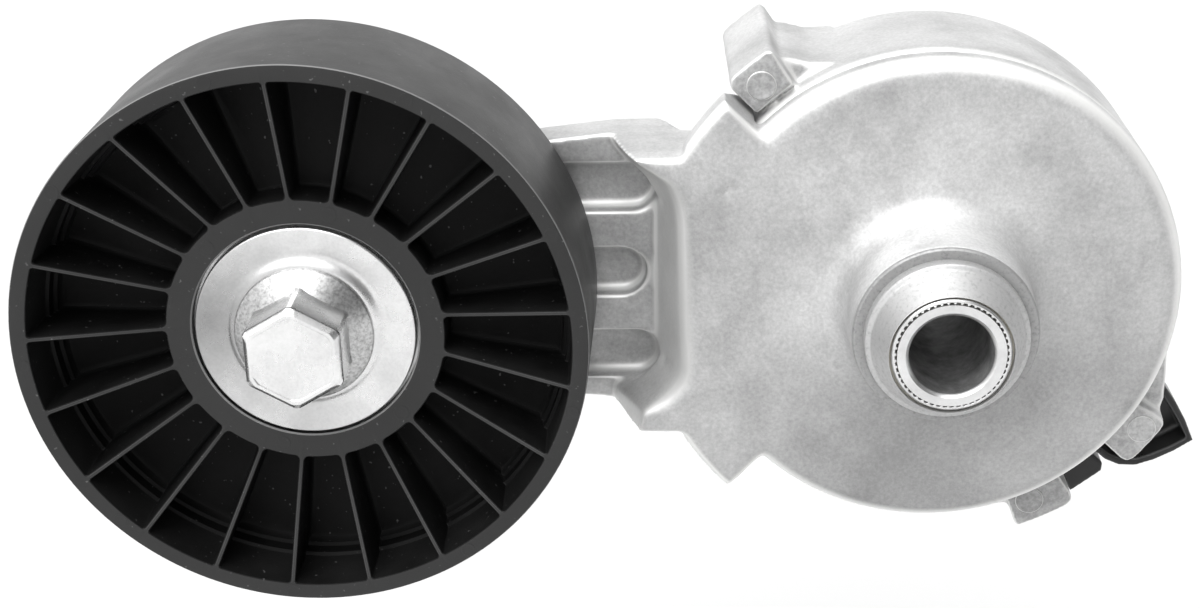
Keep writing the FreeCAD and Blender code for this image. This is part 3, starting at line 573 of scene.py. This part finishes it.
# Pitted zinc for the bolt's flange and shank, darker than the head: a painted dark reflection.
PITTED_ZINC_PAINTED_DARK = zinc_steel("pitted_zinc_painted_dark", light=0.66, roughness=0.30, pitting=0.45)
BEARING = ground_steel("bearing_steel", light=0.74, roughness=0.26)
TUBE = tube_steel()
SPRING = ground_steel("spring_steel", light=0.16, roughness=0.42)
COAT = black_coat()
BUSH = plain_polymer("bearing_nylon", (0.42, 0.40, 0.34), (0.56, 0.53, 0.46), 0.5)
RUBBER = plain_polymer("seal_rubber", (0.012, 0.012, 0.012), (0.03, 0.03, 0.03), 0.6)
BY_SLOT = {
    "cast_aluminium": CAST, "black_nylon": NYLON, "zinc_steel": ZINC, "bearing_steel": BEARING,
    "tube_steel": TUBE, "black_coat": COAT, "spring_steel": SPRING, "bearing_nylon": BUSH,
    "seal_rubber": RUBBER,
}


def dress_cad_nodes():
    """Give every CAD node the finish of its material slot."""
    for entry in frame["record"]["subparts"]:
        mesh = frame["nodes"][entry["node"]].data
        mesh.materials.clear()
        mesh.materials.append(BY_SLOT[entry["material_slot"]])


dress_cad_nodes()


# ---------------------------------------------------------------- castings and stamping

CAST_VOXEL = 0.42
STAMPED_VOXEL = 0.3
ARM_TRIM = 50.8


def face_spot(radius, depth, degrees):
    """Millimetre point about the pivot axis, for the middle of a melting ball."""
    return spot(radius, depth, math.radians(degrees)) / MM


def make_arm_casting():
    """The arm, trimmed where the turned nose begins, with its soft step and rounded edges."""
    step_crest = [((-40.5, -36.5, z), 10.0) for z in (-13.0, -8.0, -3.0, 2.0, 7.0, 12.0)]
    step_foot = [((-46.0, -23.0, z), 4.0) for z in (-14.0, -7.0, 0.0, 7.0, 13.0)]
    rim_valleys = [((-25.6, -36.0, 28.0), 7.0), ((-31.0, -36.0, -25.0), 6.0)]
    flank_edge = [((x, -36.5, 24.4), 4.5) for x in (-50.0, -47.0, -44.0, -41.0, -38.0, -35.0)]
    wing_edges = [
        (face_spot(44.5, 34.0, degrees), 6.0)
        for degrees in (136.0, 141.0, 147.0, 212.0, 218.0, 224.0)
    ]
    casting = cast_copy("arm_casting", "tensioner_arm", COVER_CAST, CAST_VOXEL, 7, ARM_TRIM, [
        (200, step_crest), (28, step_foot), (34, rim_valleys), (22, flank_edge), (6, wing_edges),
    ])
    dressed(casting, "arm", "cast_aluminium", "tensioner_arm")


def make_housing_casting():
    """The housing, with the shoulders of its lugs softened."""
    lug_shoulders = [
        (face_spot(45.0, 27.6, -31.0), 4.5),
        (face_spot(42.0, 27.0, -29.5), 4.5),
        (face_spot(42.5, 27.0, 121.0), 5.0),
    ]
    casting = cast_copy("housing_casting", "base_housing", CAST, CAST_VOXEL, 6, None, [
        (30, lug_shoulders),
    ])
    dressed(casting, "base", "cast_aluminium", "base_housing")


def make_plate_stamping():
    """The stamped back plate with its ear."""
    stamping = cast_copy("plate_stamping", "back_plate", COAT, STAMPED_VOXEL, 8)
    dressed(stamping, "base", "black_coat", "back_plate")


make_arm_casting()
make_housing_casting()
make_plate_stamping()


# ---------------------------------------------------------------- hub nose and tube end

NOSE_BORE = 9.5
NOSE_R = 12.75
NOSE_BACK = 50.0
SHOULDER_BORE = 12.6
KNURLS = 52
KNURL_DEPTH = 0.26


def make_hub_nose():
    """The turned cone at the hub's front end."""
    profile = softened([
        (NOSE_BORE, NOSE_FRONT),
        (11.9, 53.6),
        (NOSE_R, 53.2),
        (NOSE_R, NOSE_BACK),
        (NOSE_BORE, NOSE_BACK),
    ], 0.3)
    dressed(lathe("hub_nose", profile, MACHINED), "arm", "cast_aluminium")


def make_hub_shoulder():
    """The faced step between the nose and the cast hub."""
    profile = softened([
        (SHOULDER_BORE, 51.15),
        (14.2, 51.3),
        (14.45, 51.0),
        (14.5, ARM_TRIM - 0.3),
        (SHOULDER_BORE, ARM_TRIM - 0.3),
    ], 0.12)
    dressed(lathe("hub_shoulder", profile, FACED), "arm", "cast_aluminium")


def knurled(radius, angle):
    """Serrate the inner edge of the staked ring."""
    if radius > TUBE_R + 0.3 or math.sin(KNURLS * angle) < -0.3:
        return radius
    return radius + KNURL_DEPTH


def make_staked_ring():
    """The retaining ring, with the knurl that shows round the tube."""
    profile = softened([
        (TUBE_R + 0.02, RING_BACK),
        (RING_R, RING_BACK),
        (RING_R, RING_FRONT - 0.25),
        (RING_R - 0.3, RING_FRONT),
        (TUBE_R + 0.06, RING_FRONT - 0.05),
        (TUBE_R + 0.02, RING_FRONT - 0.55),
    ], 0.08, 3)
    ring = lathe("staked_ring", profile, TUBE, segments=KNURLS * 8, ripple=knurled)
    dressed(ring, "base", "tube_steel", "tube_retaining_ring")


make_hub_nose()
make_hub_shoulder()
make_staked_ring()


# ---------------------------------------------------------------- pulley

RIBS = 21
RIB_STEP = FULL_TURN / RIBS
RIB_PHASE = math.radians(6.7)
RIB_HALF = 0.40
RIM_INNER = PULLEY_R - 2.75
HUB_OUTER = 22.0
HUB_LIP = 17.9
HUB_FRONT = 46.5
HUB_BACK = 30.5
FRONT_FLOOR = 39.8
BACK_FLOOR = 37.2
# Radii of a pocket's corners at the hub ring and at the rim, and the least they shrink to.
HUB_CORNER = 0.8
HUB_CORNER_LEAST = 0.25
RIM_CORNER = 0.4
RIM_CORNER_LEAST = 0.2
CORNER_STEPS = 5
SIDE_STEPS = 6
HUB_ARC_STEPS = 4
RIM_ARC_STEPS = 5
# Rounded outer edge: shares of its radius that each point lies inward and back.
EDGE_ROUND = 0.55
EDGE_POINTS = [(1.0, 0.0), (0.3, 0.12), (0.06, 0.45), (0.0, 1.0)]
RIM_LAND = RIM_INNER + 0.35
HUB_LAND = HUB_OUTER - 0.4
LIP_EDGE = 0.25
# Rings down a pocket wall: share of the way to the floor, and how far the wall
# has come in from the ribs, the rim and the hub ring.
WALL_RINGS = [
    (0.0, -0.16, -0.16, -0.16),
    (0.006, -0.05, -0.05, -0.05),
    (0.022, 0.0, 0.0, 0.0),
    (0.66, 0.16, 0.50, 0.16),
    (0.675, 0.17, 0.58, 0.17),
    (0.69, 0.17, 1.10, 0.17),
    (0.85, 0.21, 1.20, 0.21),
    (0.865, 0.22, 1.80, 0.22),
    (0.94, 0.27, 1.95, 0.28),
    (0.985, 0.52, 2.20, 0.52),
    (1.0, 1.05, 2.75, 1.05),
]


def arc_points(centre, radius, start, end, steps):
    """Points on an arc, in rib coordinates (along the rib, away from it)."""
    return [
        (centre[0] + radius * math.cos(start + (end - start) * k / steps),
         centre[1] + radius * math.sin(start + (end - start) * k / steps))
        for k in range(steps + 1)
    ]


def pocket_chain(side, rim, hub):
    """Half of a pocket's outline: middle of the hub arc, along one rib, middle of the rim arc.

    Returns (radius, angle from the rib) pairs and the places where the straight
    side starts and ends.
    """
    inner = HUB_OUTER + hub
    outer = RIM_INNER - rim
    wall = RIB_HALF + side
    hub_round = max(HUB_CORNER - side, HUB_CORNER_LEAST)
    rim_round = max(RIM_CORNER - side, RIM_CORNER_LEAST)
    hub_across = wall + hub_round
    hub_along = math.sqrt((inner + hub_round) ** 2 - hub_across ** 2)
    rim_across = wall + rim_round
    rim_along = math.sqrt((outer - rim_round) ** 2 - rim_across ** 2)
    hub_way = math.atan2(hub_across, hub_along)
    rim_way = math.atan2(rim_across, rim_along)
    points = []
    for k in range(HUB_ARC_STEPS):
        turn = RIB_STEP / 2.0 + (hub_way - RIB_STEP / 2.0) * k / HUB_ARC_STEPS
        points.append((inner * math.cos(turn), inner * math.sin(turn)))
    points += arc_points((hub_along, hub_across), hub_round,
                         hub_way + math.pi, 1.5 * math.pi, CORNER_STEPS)
    first_side = len(points) - 1
    for k in range(1, SIDE_STEPS):
        points.append((hub_along + (rim_along - hub_along) * k / SIDE_STEPS, wall))
    last_side = len(points)
    points += arc_points((rim_along, rim_across), rim_round, -0.5 * math.pi, rim_way, CORNER_STEPS)
    for k in range(1, RIM_ARC_STEPS + 1):
        turn = rim_way + (RIB_STEP / 2.0 - rim_way) * k / RIM_ARC_STEPS
        points.append((outer * math.cos(turn), outer * math.sin(turn)))
    chain = [(math.hypot(u, v), math.atan2(v, u)) for u, v in points]
    return chain, first_side, last_side


def rib_top(radius, hub_depth, rim_depth):
    """Depth of the ribs' edge, which runs straight from the hub ring to the rim."""
    share = (radius - HUB_OUTER) / (RIM_INNER - HUB_OUTER)
    return hub_depth + (rim_depth - hub_depth) * min(1.0, max(0.0, share))


def pulley_face(verts, faces, pockets, hub_depth, rim_depth, floor):
    """One side of the pulley: all its pockets and the rib edges between them.

    Returns the vertex rows along the rim and along the hub ring.
    """
    rim_row = []
    hub_row = []
    tops = []
    for pocket in range(RIBS):
        low_rib = RIB_PHASE + pocket * RIB_STEP
        high_rib = low_rib + RIB_STEP
        rows = []
        for share, side, rim, hub in WALL_RINGS:
            chain, first_side, last_side = pocket_chain(side, rim, hub)
            loop = [(radius, low_rib + turn) for radius, turn in chain]
            loop += [(radius, high_rib - turn) for radius, turn in reversed(chain[1:-1])]
            row = []
            for radius, angle in loop:
                top = rib_top(radius, hub_depth, rim_depth)
                row.append(len(verts))
                verts.append(spot(radius, top + (floor - top) * share, angle, PULLEY_X))
            rows.append(row)
        length = len(rows[0])
        for upper, lower in zip(rows, rows[1:]):
            for k in range(length):
                n = (k + 1) % length
                pockets.append((upper[k], upper[n], lower[n], lower[k]))
        pockets.append(tuple(rows[-1]))
        tops.append(rows[0])
    middle = len(chain) - 1
    for pocket, top in enumerate(tops):
        low_side = top[:middle + 1]
        high_side = [top[0]] + top[:middle - 1:-1]
        before = tops[pocket - 1]
        other = [before[0]] + before[:middle - 1:-1]
        for k in range(first_side, last_side):
            faces.append((other[k], other[k + 1], low_side[k + 1], low_side[k]))
        rim_row += low_side[last_side:] + high_side[last_side:-1][::-1]
        hub_row += low_side[:first_side + 1][::-1] + high_side[1:first_side + 1]
    return rim_row, hub_row


def angle_of(place):
    """Angle of a vertex about the pulley's axis."""
    return math.atan2(place.z, place.x - PULLEY_X * MM)


def skirt(verts, faces, rows):
    """Bridge closed rows of the same length one after another."""
    for upper, lower in zip(rows, rows[1:]):
        count = len(upper)
        for k in range(count):
            n = (k + 1) % count
            faces.append((upper[k], upper[n], lower[n], lower[k]))


def copied_rows(verts, row, profile):
    """Rows at each (radius, depth) of a profile, at the angles of an existing row."""
    angles = [angle_of(verts[index]) for index in row]
    rows = []
    for radius, depth in profile:
        start = len(verts)
        for angle in angles:
            verts.append(spot(radius, depth, angle, PULLEY_X))
        rows.append(list(range(start, start + len(angles))))
    return rows


def make_pulley():
    """The moulded pulley, front and back, in one closed mesh."""
    verts = []
    faces = []
    pockets = []
    front_rim, front_hub = pulley_face(verts, faces, pockets, HUB_FRONT, PULLEY_FRONT, FRONT_FLOOR)
    back_rim, back_hub = pulley_face(verts, faces, pockets, HUB_BACK, PULLEY_BACK, BACK_FLOOR)
    front_edge = [
        (PULLEY_R - EDGE_ROUND * inward, PULLEY_FRONT - EDGE_ROUND * back)
        for inward, back in EDGE_POINTS
    ]
    back_edge = [
        (PULLEY_R - EDGE_ROUND * inward, PULLEY_BACK + EDGE_ROUND * back)
        for inward, back in reversed(EDGE_POINTS)
    ]
    belt = [(RIM_LAND, PULLEY_FRONT)] + front_edge + back_edge + [(RIM_LAND, PULLEY_BACK)]
    skirt(verts, faces, [front_rim] + copied_rows(verts, front_rim, belt) + [back_rim])
    bore = [
        (HUB_LAND, HUB_FRONT),
        (HUB_LIP + LIP_EDGE, HUB_FRONT),
        (HUB_LIP, HUB_FRONT - LIP_EDGE),
        (HUB_LIP, BEARING_FRONT),
        (BEARING_R, BEARING_FRONT),
        (BEARING_R, BEARING_BACK),
        (HUB_LIP, BEARING_BACK),
        (HUB_LIP, HUB_BACK + LIP_EDGE),
        (HUB_LIP + LIP_EDGE, HUB_BACK),
        (HUB_LAND, HUB_BACK),
    ]
    skirt(verts, faces, [front_hub] + copied_rows(verts, front_hub, bore) + [back_hub])
    # The pocket faces take the nylon copy with painted shade.
    moulding = finish_mesh("moulded_pulley", verts, pockets + faces, NYLON, 40.0,
                           POCKET_NYLON_PAINTED_SHADE, len(pockets))
    dressed(moulding, "pulley", "black_nylon", "pulley")


make_pulley()


# ---------------------------------------------------------------- shield and bolt

SHIELD_BORE = 5.15
HEX_HALF = 7.5
HEX_SIDES = 144
FLANGE_BACK = 47.0
FLANGE_R = 11.0
FLANGE_TOP = FLANGE_BACK + 3.0
SHANK_R = 4.98
ON_AXIS = 0.01


def make_shield():
    """The pressed dust shield: a flat seat under the bolt and a slightly dished skirt."""
    profile = softened([
        (SHIELD_BORE, SHIELD_FRONT - 1.0),
        (11.4, SHIELD_FRONT - 1.0),
        (13.4, SHIELD_FRONT - 1.7),
        (SHIELD_R - 0.1, SHIELD_FRONT - 1.6),
        (SHIELD_R, SHIELD_FRONT - 1.3),
        (SHIELD_R - 0.15, SHIELD_FRONT - 0.35),
        (12.6, SHIELD_FRONT - 0.95),
        (11.3, SHIELD_FRONT),
        (SHIELD_BORE, SHIELD_FRONT),
    ], 1.1)
    # The shield's zinc carries the painted dark reflections.
    shield = lathe("pressed_shield", profile, PRESSED_ZINC, PULLEY_X)
    dressed(shield, "arm", "zinc_steel", "dust_shield")


def hexagon(half_width, corner_round, angle):
    """Radius of a hexagon with rounded corners at an angle; a corner points up."""
    off_flat = ((angle - math.pi / 6.0) % (math.pi / 3.0)) - math.pi / 6.0
    flat = half_width / math.cos(off_flat)
    return min(flat, half_width / math.cos(math.pi / 6.0) - corner_round)


def make_bolt_shank():
    """The bolt's turned shank and forged flange."""
    profile = softened([
        (ON_AXIS, BOLT_BACK),
        (4.2, BOLT_BACK),
        (SHANK_R, BOLT_BACK + 0.8),
        (SHANK_R, FLANGE_BACK),
        (FLANGE_R, FLANGE_BACK),
        (FLANGE_R, FLANGE_BACK + 0.8),
        (8.6, FLANGE_BACK + 2.2),
        (7.2, FLANGE_TOP),
        (ON_AXIS, FLANGE_TOP),
    ], 0.3)
    # The flange and shank take the zinc that is darkened as a painted reflection.
    shank = lathe("bolt_shank", profile, PITTED_ZINC_PAINTED_DARK, PULLEY_X, 96)
    dressed(shank, "arm", "zinc_steel", "pulley_bolt")


def make_bolt_head():
    """The forged hexagon: rows of (share of its width, extra corner rounding, depth)."""
    rows = [
        (1.05, 0.0, FLANGE_BACK + 1.0), (1.0, 0.0, FLANGE_BACK + 2.6),
        (1.0, 0.0, BOLT_FRONT - 1.0), (0.985, 0.0, BOLT_FRONT - 0.72),
        (0.91, 0.15, BOLT_FRONT - 0.12), (0.895, 0.15, BOLT_FRONT - 0.02),
        (0.87, 0.2, BOLT_FRONT), (0.83, 0.2, BOLT_FRONT - 0.02),
        (0.81, 0.2, BOLT_FRONT - 0.14), (0.72, 0.3, BOLT_FRONT - 0.16),
        (0.4, 0.3, BOLT_FRONT - 0.18), (0.004, 0.0, BOLT_FRONT - 0.18),
    ]
    verts = []
    faces = []
    for share, corner_round, depth in rows:
        for k in range(HEX_SIDES):
            angle = FULL_TURN * k / HEX_SIDES + math.radians(30.0)
            reach = share * hexagon(HEX_HALF, 0.22 + corner_round, angle)
            verts.append(spot(reach, depth, angle, PULLEY_X))
    stacked_faces(faces, len(rows), HEX_SIDES)
    head = finish_mesh("bolt_head", verts, faces, ZINC, 24.0)
    dressed(head, "arm", "zinc_steel")


make_shield()
make_bolt_shank()
make_bolt_head()


# ---------------------------------------------------------------- ejector marks

MARK_SIDES = 40
# Rings of one mark: share of its radius, and height as a share of its rise.
MARK_ROWS = [
    (1.0, -0.3), (1.0, 0.55), (0.95, 0.9), (0.88, 1.0), (0.80, 0.85), (0.72, 0.55), (0.55, 0.5),
]
LUG_FRONT = 29.5
LUG_MARKS = ((44.0, 129.1), (45.1, -36.5), (44.0, -65.8))


def ejector_marks(name, places, radius, rise, material):
    """Shallow round witness marks of mould pins; places are (x, depth, z) in millimetres."""
    pieces = []
    for centre_x, depth, centre_z in places:
        verts = []
        faces = []
        for share, height in MARK_ROWS:
            for k in range(MARK_SIDES):
                verts.append(spot(radius * share, depth + rise * height, FULL_TURN * k / MARK_SIDES))
        stacked_faces(faces, len(MARK_ROWS), MARK_SIDES)
        mark = finish_mesh(name, verts, faces, material, 60.0)
        mark.data.transform(Matrix.Translation(Vector((centre_x, 0.0, centre_z)) * MM))
        pieces.append(mark)
    return joined(name, pieces)


def on_face(radius, degrees, depth, centre_x=0.0):
    """Millimetre (x, depth, z) of a point at a radius and angle about an axis."""
    turn = math.radians(degrees)
    return centre_x + radius * math.cos(turn), depth, radius * math.sin(turn)


def make_lug_marks():
    """One pin mark on the face of each lug of the housing."""
    places = [on_face(radius, degrees, LUG_FRONT) for radius, degrees in LUG_MARKS]
    marks = ejector_marks("lug_marks", places, 2.4, 0.22, CAST)
    dressed(marks, "base", "cast_aluminium")


def make_pulley_marks():
    """Nine pin marks round the pulley's rim and six round its hub ring."""
    rim_places = [on_face(43.6, 24.0 + 40.0 * k, PULLEY_FRONT, PULLEY_X) for k in range(9)]
    hub_places = [on_face(20.1, 15.0 + 60.0 * k, HUB_FRONT, PULLEY_X) for k in range(6)]
    rim_marks = ejector_marks("rim_marks", rim_places, 1.15, 0.05, NYLON)
    hub_marks = ejector_marks("hub_marks", hub_places, 1.25, 0.05, NYLON)
    dressed(joined("pulley_marks", [rim_marks, hub_marks]), "pulley", "black_nylon")


make_lug_marks()
make_pulley_marks()


# ---------------------------------------------------------------- floor, light and camera

def make_floor(height, half):
    """Plain pale floor."""
    shader = Shader("floor_paper", 0.0, 0.9, 0.1)
    shader.colour(shader.ramp(shader.noise(3.0, 2.0), [(0.0, 0.54), (1.0, 0.56)]))
    mesh = bpy.data.meshes.new("floor")
    mesh.from_pydata(
        [(-half, -half, height), (half, -half, height), (half, half, height), (-half, half, height)],
        [], [(0, 1, 2, 3)])
    mesh.materials.append(shader.material)
    floor = bpy.data.objects.new("floor", mesh)
    bpy.context.scene.collection.objects.link(floor)


# Cosines of the angles at which the sky's glow ends and is full.
KEY_EDGE = 0.70
KEY_CORE = 0.96
# The same for the unlit wall, and the share of the light that is left there.
WALL_EDGE = 0.35
WALL_CORE = 0.90
WALL_SHADE = 0.12


def toward(nodes, links, place, direction, edge, core, outside, inside):
    """A value of the sky that changes smoothly from outside to inside round a direction."""
    along = nodes.new("ShaderNodeVectorMath")
    along.operation = "DOT_PRODUCT"
    along.inputs[1].default_value = Vector(direction).normalized()
    fade = nodes.new("ShaderNodeMapRange")
    fade.interpolation_type = "SMOOTHSTEP"
    fade.inputs["From Min"].default_value = edge
    fade.inputs["From Max"].default_value = core
    fade.inputs["To Min"].default_value = outside
    fade.inputs["To Max"].default_value = inside
    links.new(place, along.inputs[0])
    links.new(along.outputs["Value"], fade.inputs["Value"])
    return fade.outputs["Result"]


def make_sky(ambient, key, key_side, dark_side):
    """White sky with one large soft glow, like a studio's overhead softbox.

    dark_side is the direction of the room's unlit wall.
    """
    world = bpy.data.worlds.new("studio")
    world.use_nodes = True
    nodes = world.node_tree.nodes
    links = world.node_tree.links
    place = nodes.new("ShaderNodeTexCoord").outputs["Generated"]
    glow = toward(nodes, links, place, key_side, KEY_EDGE, KEY_CORE, ambient, key)
    shade = toward(nodes, links, place, dark_side, WALL_EDGE, WALL_CORE, 1.0, WALL_SHADE)
    total = nodes.new("ShaderNodeMath")
    total.operation = "MULTIPLY"
    links.new(glow, total.inputs[0])
    links.new(shade, total.inputs[1])
    links.new(total.outputs[0], nodes["Background"].inputs["Strength"])
    nodes["Background"].inputs["Color"].default_value = (1.0, 1.0, 1.0, 1.0)
    bpy.context.scene.world = world


def make_camera(place, heading, pitch, roll):
    """The camera, aimed by three angles in degrees."""
    data = bpy.data.cameras.new("camera")
    data.sensor_width = 36.0
    data.lens = 59.84
    data.shift_x = -0.050
    data.shift_y = -0.040
    data.clip_start = 0.01
    camera = bpy.data.objects.new("camera", data)
    turn = Matrix.Rotation(math.radians(heading), 4, "Z")
    turn = turn @ Matrix.Rotation(math.radians(90.0 - pitch), 4, "X")
    turn = turn @ Matrix.Rotation(math.radians(roll), 4, "Z")
    camera.matrix_world = Matrix.Translation(place) @ turn
    bpy.context.scene.collection.objects.link(camera)
    bpy.context.scene.camera = camera


make_floor(-0.16, 6.0)
make_sky(1.20, 5.4, (-0.16, -0.40, 0.90), (0.86, -0.40, 0.30))
make_camera((-0.0376, -0.3339, 0.1232), heading=1.27, pitch=21.14, roll=-1.14)
bpy.context.scene.view_settings.view_transform = "Standard"
